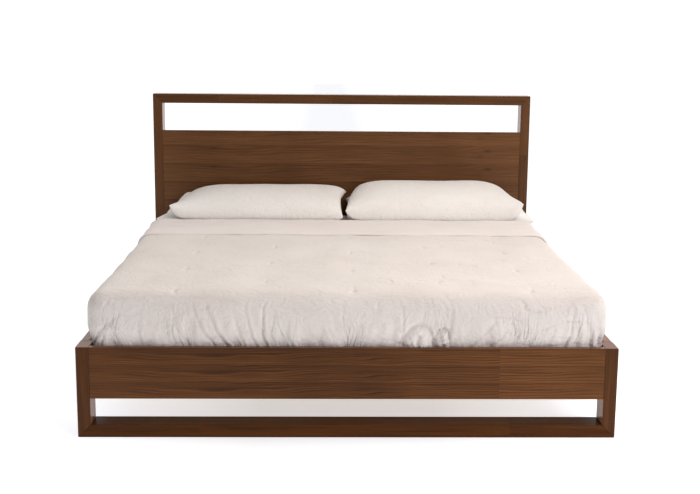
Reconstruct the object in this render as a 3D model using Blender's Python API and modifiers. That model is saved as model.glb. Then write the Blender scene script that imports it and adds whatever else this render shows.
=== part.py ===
"""Platform bed with a flat framed headboard and footboard, made up with its bedding.

Metres, +Z up. The bed is centred on X and Y and stands on Z = 0. The foot end faces -Y,
the head end +Y. Sizes start from the mattress that the frame is built round.
"""
import bmesh
import bpy
from mathutils import Vector

# ---- driving dimensions ----
MATTRESS_WIDTH = 1.920
MATTRESS_LENGTH = 2.030
MATTRESS_HEIGHT = 0.250
MATTRESS_EDGE_RADIUS = 0.035
SIDE_CLEARANCE = 0.015          # mattress to a post's inner face
FOOT_CLEARANCE = 0.020          # mattress to the footboard panel
HEAD_CLEARANCE = 0.025          # mattress to the headboard panel
MATTRESS_RECESS = 0.068         # mattress underside below the rail tops

MEMBER_FACE = 0.050             # face width of posts and cross members
MEMBER_DEPTH = 0.100            # front-to-back depth of posts and cross members
HEADBOARD_HEIGHT = 1.190
FOOTBOARD_HEIGHT = 0.3535
BASE_SLOT = 0.103               # open gap above the floor rails
HEAD_SLOT = 0.147               # open gap below the headboard's top rail
PANEL_THICKNESS = 0.025
EASED_EDGE = 0.0015

SIDE_RAIL_THICKNESS = 0.032
SIDE_RAIL_SET_IN = 0.002        # outer face behind the posts' outer face
CROSS_RAIL_THICKNESS = 0.035
CROSS_RAIL_HEIGHT = 0.100
LEDGER_WIDTH = 0.024
LEDGER_HEIGHT = 0.030
SLAT_COUNT = 13
SLAT_WIDTH = 0.070
SLAT_THICKNESS = 0.019
SLAT_END_CLEARANCE = 0.006
SLAT_END_INSET = 0.050          # end slats' centres to the headboard and footboard posts

BEAM_WIDTH = 0.045
BEAM_HEIGHT = 0.070
HANGER_PLATE = 0.002
HANGER_DEPTH = 0.050
HANGER_FLANGE = 0.022
HANGER_LIP_BELOW_TOP = 0.012
LEG_COUNT = 3
LEG_SIDE = 0.045
FIRST_LEG = 0.650               # footboard posts to the first leg's centre
LAST_LEG = 0.400                # last leg's centre to the headboard posts
LEVELLER_RADIUS = 0.016
LEVELLER_HEIGHT = 0.008
LEVELLER_SHOW = 0.012           # leg's underside above the floor
STUD_RADIUS = 0.004
STUD_ENGAGEMENT = 0.030

PLATE_WIDTH = 0.020
PLATE_HEIGHT = 0.120
PLATE_THICKNESS = 0.003
HOOK_COUNT = 2
HOOK_PITCH = 0.060
HOOK_TONGUE = 0.012
HOOK_LIP = 0.007
HOOK_THICKNESS = 0.003
HOOK_SLOT_PLAY = 0.001
HOOK_SLOT_HEADROOM = 0.009      # room to lift a hook out of its slot

SHEET_THICKNESS = 0.0015
SHEET_HEM_ABOVE = 0.015         # fitted sheet's hem above the mattress underside
COMFORTER_TOP = 0.024
COMFORTER_EASE = 0.001          # tucked comforter to the panel and posts beside it
COMFORTER_BULGE = 0.015         # how far it swells out above the side rails
COMFORTER_TUCK = 0.050          # tucked depth below the rail tops
COMFORTER_RADIUS = 0.045
COMFORTER_TO_PILLOW = 0.004
OVERHANG_CLEARANCE = 0.003
FOLD_THICKNESS = 0.008
FOLD_LENGTH = 0.450
FOLD_DROP = 0.110

LOWER_PILLOW = (0.925, 0.350)   # width and depth
UPPER_PILLOW = (0.905, 0.372)
LOWER_PLUMP = 0.045             # half thickness in the middle
UPPER_PLUMP = 0.062
PILLOW_SEAM = 0.004             # half thickness along the seam
LOWER_SEAM_HEIGHT = 0.052       # the seam's middle height above what the stack lies on
LOWER_RISE = 0.030              # how far its back edge rides up the headboard, and its front lies lower
UPPER_SEAM_HEIGHT = 0.058       # the upper pillow's front seam, drooping in front of the lower pillow
UPPER_RISE = 0.100              # its back edge above its front
UPPER_HEAD_GAP = 0.018          # between the upper pillow's back edge and the lower's
PILLOW_PAIR_GAP = 0.012         # between the left and right stacks
PILLOW_HEAD_GAP = 0.010         # between the lower pillow and the headboard
PILLOW_CLEARANCE = 0.003

GAP = 0.0003                    # between touching pieces
CUT_PAST = 0.010                # how far a cutter runs past the faces it opens

# ---- worked-out places ----
INNER_HALF = MATTRESS_WIDTH / 2 + SIDE_CLEARANCE
OUTER_HALF = INNER_HALF + MEMBER_FACE
FRONT_TO_HEAD = (PANEL_THICKNESS + FOOT_CLEARANCE + MATTRESS_LENGTH + HEAD_CLEARANCE)
TOTAL_LENGTH = FRONT_TO_HEAD + MEMBER_DEPTH
FOOT_FRONT = -TOTAL_LENGTH / 2
FOOT_BACK = FOOT_FRONT + MEMBER_DEPTH
HEAD_FRONT = FOOT_FRONT + FRONT_TO_HEAD
HEAD_BACK = HEAD_FRONT + MEMBER_DEPTH
PANEL_BOTTOM = MEMBER_FACE + BASE_SLOT
HEAD_PANEL_TOP = HEADBOARD_HEIGHT - MEMBER_FACE - HEAD_SLOT
SIDE_RAIL_OUTER = OUTER_HALF - SIDE_RAIL_SET_IN
SIDE_RAIL_INNER = SIDE_RAIL_OUTER - SIDE_RAIL_THICKNESS
MATTRESS_BOTTOM = FOOTBOARD_HEIGHT - MATTRESS_RECESS
MATTRESS_TOP = MATTRESS_BOTTOM + MATTRESS_HEIGHT
MATTRESS_FOOT = FOOT_FRONT + PANEL_THICKNESS + FOOT_CLEARANCE
MATTRESS_HEAD = MATTRESS_FOOT + MATTRESS_LENGTH
SLAT_TOP = MATTRESS_BOTTOM - GAP
SUPPORT_TOP = SLAT_TOP - SLAT_THICKNESS - GAP
BEAM_BOTTOM = SUPPORT_TOP - BEAM_HEIGHT
SHEET_OUT = GAP + SHEET_THICKNESS
PILLOW_HEAD = HEAD_FRONT - PILLOW_HEAD_GAP
PILLOW_FLOOR = MATTRESS_TOP + SHEET_OUT + PILLOW_CLEARANCE
COMFORTER_FACE = FOOT_FRONT + PANEL_THICKNESS + COMFORTER_EASE
UPPER_FRONT = PILLOW_HEAD - UPPER_HEAD_GAP - UPPER_PILLOW[1]
COMFORTER_HEAD = UPPER_FRONT - COMFORTER_TO_PILLOW
COMFORTER_TOP_Z = MATTRESS_TOP + SHEET_OUT + GAP + COMFORTER_TOP
COMFORTER_HALF = INNER_HALF - COMFORTER_EASE
COMFORTER_OUTER = COMFORTER_HALF + COMFORTER_BULGE
COMFORTER_LEDGE = FOOTBOARD_HEIGHT + OVERHANG_CLEARANCE

bpy.ops.object.select_all(action="DESELECT")
for old in list(bpy.data.objects):
    bpy.data.objects.remove(old, do_unlink=True)

bed = bpy.data.collections.new("platform_bed")
cutters = bpy.data.collections.new("cutters")
bpy.context.scene.collection.children.link(bed)
bpy.context.scene.collection.children.link(cutters)


def material(name, colour, roughness, metallic=0.0):
    """A Principled material with one colour."""
    made = bpy.data.materials.new(name)
    made.use_nodes = True
    shader = made.node_tree.nodes["Principled BSDF"]
    shader.inputs["Base Color"].default_value = (*colour, 1.0)
    shader.inputs["Roughness"].default_value = roughness
    shader.inputs["Metallic"].default_value = metallic
    made.diffuse_color = (*colour, 1.0)
    return made


WALNUT = material("stained_walnut", (0.085, 0.040, 0.020), 0.42)
VENEER = material("walnut_veneer", (0.095, 0.043, 0.021), 0.40)
PINE = material("pine", (0.62, 0.45, 0.27), 0.65)
BLACK_STEEL = material("black_steel", (0.03, 0.03, 0.03), 0.45, 0.6)
ZINC = material("zinc_plate", (0.62, 0.62, 0.60), 0.35, 1.0)
NYLON = material("nylon", (0.03, 0.03, 0.03), 0.55)
TICKING = material("ticking", (0.78, 0.76, 0.72), 0.9)
SHEETING = material("sheeting", (0.76, 0.72, 0.66), 0.88)
COTTON = material("comforter_cotton", (0.78, 0.74, 0.68), 0.9)
PILLOWCASE = material("pillowcase_cotton", (0.80, 0.77, 0.73), 0.9)


def adopt(obj, name, surface, home=bed):
    """Names an object, gives it its material and moves it to a collection."""
    obj.name = name
    obj.data.name = name
    for old in list(obj.users_collection):
        old.objects.unlink(obj)
    home.objects.link(obj)
    obj.data.materials.clear()
    if surface is not None:
        obj.data.materials.append(surface)
    return obj


def apply_scale(obj):
    """Writes an object's scale into its mesh."""
    size = obj.scale.copy()
    for vertex in obj.data.vertices:
        vertex.co = Vector(a * b for a, b in zip(vertex.co, size))
    obj.scale = (1, 1, 1)


def bevel(obj, width, segments=1):
    """Eases an object's sharp edges."""
    modifier = obj.modifiers.new("eased_edges", "BEVEL")
    modifier.width = width
    modifier.segments = segments
    modifier.limit_method = "ANGLE"
    return obj


def block(name, low, high, surface, home=bed):
    """A cube primitive stretched from its lowest corner to its highest."""
    middle = [(a + b) / 2 for a, b in zip(low, high)]
    bpy.ops.mesh.primitive_cube_add(size=1, location=middle)
    obj = bpy.context.object
    obj.scale = [b - a for a, b in zip(low, high)]
    apply_scale(obj)
    return adopt(obj, name, surface, home)


def cutter(name, low, high):
    """A hidden block that shapes other pieces."""
    obj = block(name, low, high, None, cutters)
    obj.hide_render = True
    obj.display_type = "WIRE"
    return obj


def boolean(obj, tool, operation):
    """Cuts or joins a piece with a cutter."""
    modifier = obj.modifiers.new(operation.lower(), "BOOLEAN")
    modifier.operation = operation
    modifier.solver = "EXACT"
    modifier.object = tool
    return obj


def move_corners(obj, chosen, shift):
    """Moves the corners that chosen() picks, to cut a mitre on a square end."""
    for vertex in obj.data.vertices:
        if chosen(vertex.co):
            vertex.co += Vector(shift)


def smooth(obj):
    """Shades a soft or round piece smooth, with its true edges kept sharp."""
    obj.data.shade_smooth()
    obj.data.set_sharp_from_angle(angle=0.7)
    return obj


# ---- headboard and footboard ----

def post(name, side, front, height, mitred_top):
    """A deep post. Its foot, and on the headboard its head, is cut at 45 degrees."""
    inner, outer = side * INNER_HALF, side * OUTER_HALF
    low = (min(inner, outer), front, 0)
    high = (max(inner, outer), front + MEMBER_DEPTH, height)
    obj = block(name, low, high, WALNUT)
    move_corners(obj, lambda co: co.x * side < 0 and co.z < 0, (0, 0, MEMBER_FACE))
    if mitred_top:
        move_corners(obj, lambda co: co.x * side < 0 and co.z > 0, (0, 0, -MEMBER_FACE))
    return obj


def mitred_rail(name, front, bottom, long_edge_up):
    """A cross member whose two ends meet the posts at 45 degrees."""
    half = OUTER_HALF - 2 * GAP
    low = (-half, front, bottom)
    high = (half, front + MEMBER_DEPTH, bottom + MEMBER_FACE)
    obj = block(name, low, high, WALNUT)
    way = 1 if long_edge_up else -1
    for side in (-1, 1):
        move_corners(obj, lambda co: co.x * side > 0 and co.z * way < 0, (-side * MEMBER_FACE, 0, 0))
    return bevel(obj, EASED_EDGE, 2)


def panel(name, front, bottom, top):
    """A veneered panel, flush with the front of the posts it stands between."""
    half = INNER_HALF - GAP
    low = (-half, front, bottom)
    high = (half, front + PANEL_THICKNESS, top)
    return bevel(block(name, low, high, VENEER), EASED_EDGE / 2, 1)


def cross_rail(name, front):
    """The rail behind a panel that backs up the centre beam's hanger."""
    half = INNER_HALF - GAP
    top = SUPPORT_TOP - GAP
    low = (-half, front, top - CROSS_RAIL_HEIGHT)
    high = (half, front + CROSS_RAIL_THICKNESS, top)
    return bevel(block(name, low, high, WALNUT), EASED_EDGE, 1)


posts = {}
for side, word in ((-1, "left"), (1, "right")):
    posts[word, "head"] = post(f"headboard_post_{word}", side, HEAD_FRONT, HEADBOARD_HEIGHT, True)
    posts[word, "foot"] = post(f"footboard_post_{word}", side, FOOT_FRONT, FOOTBOARD_HEIGHT, False)

mitred_rail("headboard_top_rail", HEAD_FRONT, HEADBOARD_HEIGHT - MEMBER_FACE, True)
mitred_rail("headboard_floor_rail", HEAD_FRONT, 0, False)
mitred_rail("footboard_floor_rail", FOOT_FRONT, 0, False)
panel("headboard_panel", HEAD_FRONT, PANEL_BOTTOM, HEAD_PANEL_TOP)
panel("footboard_panel", FOOT_FRONT, PANEL_BOTTOM, FOOTBOARD_HEIGHT)
cross_rail("headboard_cross_rail", HEAD_FRONT + PANEL_THICKNESS + GAP)
cross_rail("footboard_cross_rail", FOOT_FRONT + PANEL_THICKNESS + GAP)

# ---- side rails and their hook-in fasteners ----

PLATE_MIDDLE_X = SIDE_RAIL_OUTER - SIDE_RAIL_THICKNESS / 2
PLATE_MIDDLE_Z = (PANEL_BOTTOM + FOOTBOARD_HEIGHT) / 2
HOOK_HEIGHTS = [PLATE_MIDDLE_Z + HOOK_PITCH * (i - (HOOK_COUNT - 1) / 2) for i in range(HOOK_COUNT)]


def along(start, way, near, far, x, half_x, low_z, high_z):
    """Corners of a block whose depth runs from near to far, way from a joint's plane."""
    first, last = start + way * near, start + way * far
    low = (x - half_x, min(first, last), low_z)
    high = (x + half_x, max(first, last), high_z)
    return low, high


def fasten(word, end, side, joint, into_post, rail):
    """Lets a catch plate into a post and a hook plate into the end of its side rail."""
    x = side * PLATE_MIDDLE_X
    half = PLATE_WIDTH / 2
    low_z, high_z = PLATE_MIDDLE_Z - PLATE_HEIGHT / 2, PLATE_MIDDLE_Z + PLATE_HEIGHT / 2
    key = f"{end}_{word}"
    holder = posts[word, end]
    seat = PLATE_THICKNESS + GAP

    mortise = along(joint, into_post, -CUT_PAST, seat, x, half + GAP, low_z - GAP, high_z + GAP)
    boolean(holder, cutter(f"cut_post_{key}", *mortise), "DIFFERENCE")
    catch = block(f"catch_plate_{key}", *along(joint, into_post, 0, PLATE_THICKNESS, x, half, low_z, high_z), ZINC)

    rail_end = joint - into_post * GAP
    mortise = along(rail_end, -into_post, -CUT_PAST, seat, x, half + GAP, low_z - GAP, high_z + GAP)
    boolean(rail, cutter(f"cut_rail_{key}", *mortise), "DIFFERENCE")
    plate = along(rail_end, -into_post, 0, PLATE_THICKNESS, x, half, low_z, high_z)
    hooks = block(f"hook_plate_{key}", *plate, ZINC)

    back = seat + 2 * GAP
    reach = back + HOOK_THICKNESS
    half_hook = HOOK_THICKNESS / 2
    for count, z in enumerate(HOOK_HEIGHTS):
        slot = along(joint, into_post, -CUT_PAST, PLATE_THICKNESS + CUT_PAST / 2, x,
                     half_hook + HOOK_SLOT_PLAY, z - GAP, z + HOOK_TONGUE + HOOK_SLOT_HEADROOM)
        boolean(catch, cutter(f"cut_slot_{key}_{count}", *slot), "DIFFERENCE")
        pocket = along(joint, into_post, -CUT_PAST, reach + HOOK_SLOT_PLAY, x,
                       half_hook + HOOK_SLOT_PLAY, z - HOOK_LIP - HOOK_SLOT_PLAY,
                       z + HOOK_TONGUE + HOOK_SLOT_HEADROOM)
        boolean(holder, cutter(f"cut_pocket_{key}_{count}", *pocket), "DIFFERENCE")
        tongue = along(joint, into_post, -GAP - PLATE_THICKNESS / 2, reach, x, half_hook, z, z + HOOK_TONGUE)
        boolean(hooks, cutter(f"add_tongue_{key}_{count}", *tongue), "UNION")
        lip = along(joint, into_post, back, reach, x, half_hook, z - HOOK_LIP, z + HOOK_TONGUE / 2)
        boolean(hooks, cutter(f"add_lip_{key}_{count}", *lip), "UNION")


def side_rail(word, side):
    """A side rail with the ledger that carries the slats."""
    inner, outer = side * SIDE_RAIL_INNER, side * SIDE_RAIL_OUTER
    low = (min(inner, outer), FOOT_BACK + GAP, PANEL_BOTTOM)
    high = (max(inner, outer), HEAD_FRONT - GAP, FOOTBOARD_HEIGHT)
    rail = bevel(block(f"side_rail_{word}", low, high, WALNUT), EASED_EDGE, 2)
    near, far = side * (SIDE_RAIL_INNER - GAP), side * (SIDE_RAIL_INNER - GAP - LEDGER_WIDTH)
    low = (min(near, far), FOOT_BACK + GAP, SUPPORT_TOP - LEDGER_HEIGHT)
    high = (max(near, far), HEAD_FRONT - GAP, SUPPORT_TOP)
    bevel(block(f"slat_ledger_{word}", low, high, PINE), EASED_EDGE, 1)
    fasten(word, "foot", side, FOOT_BACK, -1, rail)
    fasten(word, "head", side, HEAD_FRONT, 1, rail)


for side, word in ((-1, "left"), (1, "right")):
    side_rail(word, side)
    for end in ("head", "foot"):
        bevel(posts[word, end], EASED_EDGE, 2)
        posts[word, end].modifiers.move(len(posts[word, end].modifiers) - 1, 0)

# ---- slats, centre beam and legs ----

for number in range(SLAT_COUNT):
    first = FOOT_BACK + SLAT_END_INSET
    last = HEAD_FRONT - SLAT_END_INSET
    middle = first + (last - first) * number / (SLAT_COUNT - 1)
    half = SIDE_RAIL_INNER - SLAT_END_CLEARANCE
    low = (-half, middle - SLAT_WIDTH / 2, SLAT_TOP - SLAT_THICKNESS)
    high = (half, middle + SLAT_WIDTH / 2, SLAT_TOP)
    bevel(block(f"slat_{number + 1:02d}", low, high, PINE), EASED_EDGE, 1)

BEAM_FOOT = FOOT_FRONT + PANEL_THICKNESS + CROSS_RAIL_THICKNESS + 3 * GAP + HANGER_PLATE
BEAM_HEAD = HEAD_FRONT - HANGER_PLATE - 2 * GAP
bevel(block("centre_beam", (-BEAM_WIDTH / 2, BEAM_FOOT, BEAM_BOTTOM),
            (BEAM_WIDTH / 2, BEAM_HEAD, SUPPORT_TOP), PINE), EASED_EDGE, 1)


def hanger(name, wall, way):
    """A joist hanger: a back plate and a bent cup that the beam's end drops into."""
    half = BEAM_WIDTH / 2 + GAP
    back = (wall + way * GAP, wall + way * (GAP + HANGER_PLATE))
    cup = (wall + way * GAP, wall + way * (GAP + HANGER_PLATE + HANGER_DEPTH))
    top = SUPPORT_TOP - HANGER_LIP_BELOW_TOP
    bottom = BEAM_BOTTOM - GAP - HANGER_PLATE
    obj = block(name, (-half - HANGER_PLATE, min(cup), bottom), (half + HANGER_PLATE, max(cup), top),
                BLACK_STEEL)
    wings = cutter(f"add_wings_{name}", (-half - HANGER_FLANGE, min(back), bottom),
                   (half + HANGER_FLANGE, max(back), top))
    boolean(obj, wings, "UNION")
    hollow = (back[1], cup[1] + way * CUT_PAST)
    room = cutter(f"cut_cup_{name}", (-half, min(hollow), BEAM_BOTTOM - GAP), (half, max(hollow), top + CUT_PAST))
    boolean(obj, room, "DIFFERENCE")


hanger("beam_hanger_foot", FOOT_FRONT + PANEL_THICKNESS + GAP + CROSS_RAIL_THICKNESS, 1)
hanger("beam_hanger_head", HEAD_FRONT, -1)


def centre_leg(number, y):
    """A square leg under the beam, bored for the stud of its levelling foot."""
    half = LEG_SIDE / 2
    leg = block(f"centre_leg_{number}", (-half, y - half, LEVELLER_SHOW), (half, y + half, BEAM_BOTTOM - GAP), PINE)
    bevel(leg, EASED_EDGE, 1)
    top = LEVELLER_SHOW + STUD_ENGAGEMENT
    bpy.ops.mesh.primitive_cylinder_add(vertices=24, radius=STUD_RADIUS + GAP, depth=top + CUT_PAST,
                                        location=(0, y, (top + CUT_PAST) / 2))
    bore = adopt(bpy.context.object, f"cut_stud_{number}", None, cutters)
    bore.hide_render = True
    bore.display_type = "WIRE"
    boolean(leg, bore, "DIFFERENCE")

    profile = [(0, top), (STUD_RADIUS, top), (STUD_RADIUS, LEVELLER_HEIGHT),
               (LEVELLER_RADIUS * 0.8, LEVELLER_HEIGHT), (LEVELLER_RADIUS, LEVELLER_HEIGHT * 0.6),
               (LEVELLER_RADIUS, 0), (0, 0)]
    mesh = bpy.data.meshes.new("leveller_profile")
    mesh.from_pydata([(r, 0, z) for r, z in profile], [(i, i + 1) for i in range(len(profile) - 1)], [])
    foot = bpy.data.objects.new("leveller_profile", mesh)
    bpy.context.scene.collection.objects.link(foot)
    adopt(foot, f"leveller_{number}", NYLON)
    foot.location = (0, y, 0)
    screw = foot.modifiers.new("turned", "SCREW")
    screw.steps = 24
    screw.render_steps = 24
    screw.use_merge_vertices = True
    screw.merge_threshold = 0.0001
    smooth(foot)


for number in range(LEG_COUNT):
    first = FOOT_BACK + FIRST_LEG
    last = HEAD_FRONT - LAST_LEG
    centre_leg(number + 1, first + (last - first) * number / (LEG_COUNT - 1))

# ---- mattress and bedding ----


def soft_block(name, low, high, surface, radius, home=bed):
    """A block with well rounded edges."""
    obj = block(name, low, high, surface, home)
    if home == cutters:
        obj.hide_render = True
        obj.display_type = "WIRE"
    bevel(obj, radius, 3)
    return obj


def mattress_block(name, surface, grow, bottom, home=bed):
    """The mattress's shape grown by a clearance, standing on its own bottom."""
    half = MATTRESS_WIDTH / 2 + grow
    low = (-half, MATTRESS_FOOT - grow, bottom)
    high = (half, MATTRESS_HEAD + grow, MATTRESS_TOP + grow)
    return soft_block(name, low, high, surface, MATTRESS_EDGE_RADIUS + grow, home)


smooth(mattress_block("mattress", TICKING, 0, MATTRESS_BOTTOM))

below = MATTRESS_BOTTOM - 2 * MATTRESS_EDGE_RADIUS
fitted = mattress_block("fitted_sheet", SHEETING, SHEET_OUT, below)
boolean(fitted, mattress_block("cut_mattress", None, GAP, below - CUT_PAST, cutters), "DIFFERENCE")
wide = (OUTER_HALF, TOTAL_LENGTH)
boolean(fitted, cutter("cut_hem", (-wide[0], -wide[1], 0), (wide[0], wide[1], MATTRESS_BOTTOM + SHEET_HEM_ABOVE)),
        "DIFFERENCE")
smooth(fitted)


def comforter():
    """The comforter: swollen over the mattress, with a narrower skirt tucked in all round."""
    obj = soft_block("comforter", (-COMFORTER_OUTER, COMFORTER_FACE - COMFORTER_BULGE, COMFORTER_LEDGE),
                     (COMFORTER_OUTER, COMFORTER_HEAD + COMFORTER_RADIUS * 2, COMFORTER_TOP_Z), COTTON,
                     COMFORTER_RADIUS)
    skirt = cutter("add_skirt", (-COMFORTER_HALF, COMFORTER_FACE, FOOTBOARD_HEIGHT - COMFORTER_TUCK),
                   (COMFORTER_HALF, COMFORTER_HEAD + COMFORTER_RADIUS, COMFORTER_LEDGE + COMFORTER_RADIUS * 2))
    boolean(obj, skirt, "UNION")
    boolean(obj, mattress_block("cut_bed", None, SHEET_OUT + GAP, below - CUT_PAST, cutters), "DIFFERENCE")
    end = cutter("cut_head_end", (-wide[0], COMFORTER_HEAD, 0), (wide[0], wide[1], HEADBOARD_HEIGHT))
    boolean(obj, end, "DIFFERENCE")
    smooth(obj)


def top_sheet():
    """The top sheet's end, turned down over the comforter and hanging a little at its sides."""
    grow = GAP + FOLD_THICKNESS
    low_z = COMFORTER_TOP_Z - FOLD_DROP

    def saddle(name, extra, bottom, surface, home):
        return soft_block(name, (-COMFORTER_OUTER - extra, -wide[1], bottom),
                          (COMFORTER_OUTER + extra, wide[1], COMFORTER_TOP_Z + extra), surface,
                          COMFORTER_RADIUS + extra, home)

    obj = saddle("top_sheet", grow, 0, SHEETING, bed)
    boolean(obj, saddle("cut_saddle", GAP, -CUT_PAST, None, cutters), "DIFFERENCE")
    start = COMFORTER_HEAD - FOLD_LENGTH
    boolean(obj, cutter("keep_fold", (-wide[0], start, low_z), (wide[0], COMFORTER_HEAD, HEADBOARD_HEIGHT)),
            "INTERSECT")
    smooth(obj)


comforter()
top_sheet()


def pillow_swell(u, v):
    """Share of a pillow's full half thickness: all of it in the middle, none at its seam."""
    return ((1 - u ** 4) * (1 - v ** 6)) ** 0.5


def lower_skin(u, v, w):
    """Height on the lower pillow, u across it, v from -1 at the foot to 1 at the head, w from -1 on its
    underside to 1 on top; it lies flat on the sheet."""
    middle = PILLOW_FLOOR + LOWER_SEAM_HEIGHT + LOWER_RISE * v
    return max(middle + w * (LOWER_PLUMP * pillow_swell(u, v) + PILLOW_SEAM), PILLOW_FLOOR)


def upper_skin(u, v, w, below):
    """Height on the upper pillow: it climbs quickly from a front seam that droops before the lower
    pillow, and its underside rests on what is below."""
    climb = UPPER_RISE * (1 - ((1 - v) / 2) ** 2)
    thick = UPPER_PLUMP * pillow_swell(u, v) + PILLOW_SEAM
    top = PILLOW_FLOOR + UPPER_SEAM_HEIGHT + climb + thick
    bottom = max(top - 2 * thick, below + PILLOW_CLEARANCE)
    return bottom + (w + 1) / 2 * max(top - bottom, 2 * PILLOW_SEAM)


def pillow(name, side, upper):
    """A pillow from a cut-up cube, crowned, its sides pulled in a little between corners."""
    mesh = bpy.data.meshes.new(name)
    shape = bmesh.new()
    bmesh.ops.create_cube(shape, size=2)
    bmesh.ops.subdivide_edges(shape, edges=shape.edges[:], cuts=7, use_grid_fill=True)
    width, depth = UPPER_PILLOW if upper else LOWER_PILLOW
    middle_x = side * (PILLOW_PAIR_GAP + width) / 2
    lower_x = side * (PILLOW_PAIR_GAP + LOWER_PILLOW[0]) / 2
    lower_y = PILLOW_HEAD - LOWER_PILLOW[1] / 2
    middle_y = UPPER_FRONT + depth / 2 if upper else lower_y
    for vertex in shape.verts:
        u, v, w = vertex.co
        x = middle_x + u * width / 2 * (1 - 0.03 * (1 - v * v))
        y = middle_y + v * depth / 2 * (1 - 0.03 * (1 - u * u))
        if upper:
            over_u = (x - lower_x) / (LOWER_PILLOW[0] / 2)
            over_v = (y - lower_y) / (LOWER_PILLOW[1] / 2)
            covered = abs(over_u) < 1 and abs(over_v) < 1
            z = upper_skin(u, v, w, lower_skin(over_u, over_v, 1) if covered else PILLOW_FLOOR)
        else:
            z = lower_skin(u, v, w)
        vertex.co = (x, y, z)
    bmesh.ops.recalc_face_normals(shape, faces=shape.faces[:])
    shape.to_mesh(mesh)
    shape.free()
    obj = bpy.data.objects.new(name, mesh)
    bpy.context.scene.collection.objects.link(obj)
    adopt(obj, name, PILLOWCASE)
    smooth(obj)


for side, word in ((-1, "left"), (1, "right")):
    pillow(f"pillow_lower_{word}", side, False)
    pillow(f"pillow_upper_{word}", side, True)
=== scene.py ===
"""Looks of the platform bed: stained walnut frame, veneered panels and tufted white bedding."""

import math

import bpy
import numpy as np
from mathutils import Matrix, Vector


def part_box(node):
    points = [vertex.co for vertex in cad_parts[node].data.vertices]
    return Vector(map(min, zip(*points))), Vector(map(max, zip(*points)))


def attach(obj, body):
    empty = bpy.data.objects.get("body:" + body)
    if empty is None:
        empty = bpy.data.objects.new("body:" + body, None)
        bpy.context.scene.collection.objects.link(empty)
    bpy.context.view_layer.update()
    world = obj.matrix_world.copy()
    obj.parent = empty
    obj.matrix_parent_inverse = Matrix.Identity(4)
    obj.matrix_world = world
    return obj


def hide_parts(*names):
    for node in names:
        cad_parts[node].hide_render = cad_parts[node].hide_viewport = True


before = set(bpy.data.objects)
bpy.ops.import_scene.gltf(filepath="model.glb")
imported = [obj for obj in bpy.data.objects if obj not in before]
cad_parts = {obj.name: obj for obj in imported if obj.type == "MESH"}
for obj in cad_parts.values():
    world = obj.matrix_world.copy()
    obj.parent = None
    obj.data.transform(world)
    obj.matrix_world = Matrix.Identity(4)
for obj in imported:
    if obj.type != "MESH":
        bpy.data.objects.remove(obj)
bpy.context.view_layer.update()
SCENE = bpy.context.scene
SCENE.view_settings.view_transform = "Standard"


# ---- places, all from the frame ----


def corners(node):
    """Lowest and highest corner of a CAD node as numpy arrays."""
    low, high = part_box(node)
    return np.array(low), np.array(high)


MATTRESS_LOW, MATTRESS_HIGH = corners("mattress")
SHEET_LOW, SHEET_HIGH = corners("fitted_sheet")
COVER_LOW, COVER_HIGH = corners("comforter")
FOLD_LOW, FOLD_HIGH = corners("top_sheet")
RAIL_TOP = corners("side_rail_left")[1][2]
POST_INNER = corners("footboard_post_right")[0][0]
PANEL_BACK = corners("footboard_panel")[1][1]


# ---- small tools ----


def tone(text):
    """Linear colour of an sRGB hex value, four numbers."""
    parts = [int(text[i:i + 2], 16) / 255 for i in (0, 2, 4)]
    return tuple(c / 12.92 if c <= 0.04045 else ((c + 0.055) / 1.055) ** 2.4 for c in parts) + (1.0,)


def add(tree, kind, *inputs, out=0, stops=(), **settings):
    """Adds a shader node, sets its settings and colour stops, fills its inputs, in order or as one
    dictionary, with values or links, and gives one of its outputs."""
    made = tree.nodes.new("ShaderNode" + kind)
    for key, value in settings.items():
        setattr(made, key, value)
    named = inputs[0] if inputs and isinstance(inputs[0], dict) else dict(enumerate(inputs))
    for key, value in named.items():
        if isinstance(value, bpy.types.NodeSocket):
            tree.links.new(value, made.inputs[key])
        else:
            made.inputs[key].default_value = value
    for number, (place, colour) in enumerate(stops):
        point = made.color_ramp.elements[number] if number < 2 else made.color_ramp.elements.new(place)
        point.position = place
        point.color = colour
    return made.outputs[out]


def material(name, build, **fixed):
    """A Principled material: fixed socket values, then what build() adds to its tree."""
    made = bpy.data.materials.new(name)
    made.use_nodes = True
    tree = made.node_tree
    shader = tree.nodes["Principled BSDF"]
    for key, value in fixed.items():
        shader.inputs[key.replace("_", " ").title().replace("Ior", "IOR")].default_value = value
    build(tree, shader)
    return made


def ripple(a, b, wave, seed, count=14):
    """Smooth noise of about unit size: the sum of `count` sine waves in random directions of (a, b),
    with lengths spread round `wave` metres."""
    rng = np.random.default_rng(seed)
    total = np.zeros(np.broadcast(a, b).shape)
    for angle, phase, stretch in rng.uniform((0, 0, 0.6), (math.pi, 2 * math.pi, 1.6), (count, 3)):
        turn = 2 * math.pi / (wave * stretch)
        total += np.sin(turn * (a * math.cos(angle) + b * math.sin(angle)) + phase)
    return total * math.sqrt(2 / count)


def rise(value, start, end):
    """Smooth step from 0 at start to 1 at end."""
    t = np.clip((value - start) / (end - start), 0, 1)
    return t * t * (3 - 2 * t)


def grid_quads(rows, cols):
    """The numbers of a grid's points, row after row, and the quads between them."""
    index = np.arange(rows * cols).reshape(rows, cols)
    quads = np.stack([index[:-1, :-1], index[1:, :-1], index[1:, 1:], index[:-1, 1:]], -1)
    return index, quads.reshape(-1, 4)


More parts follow.
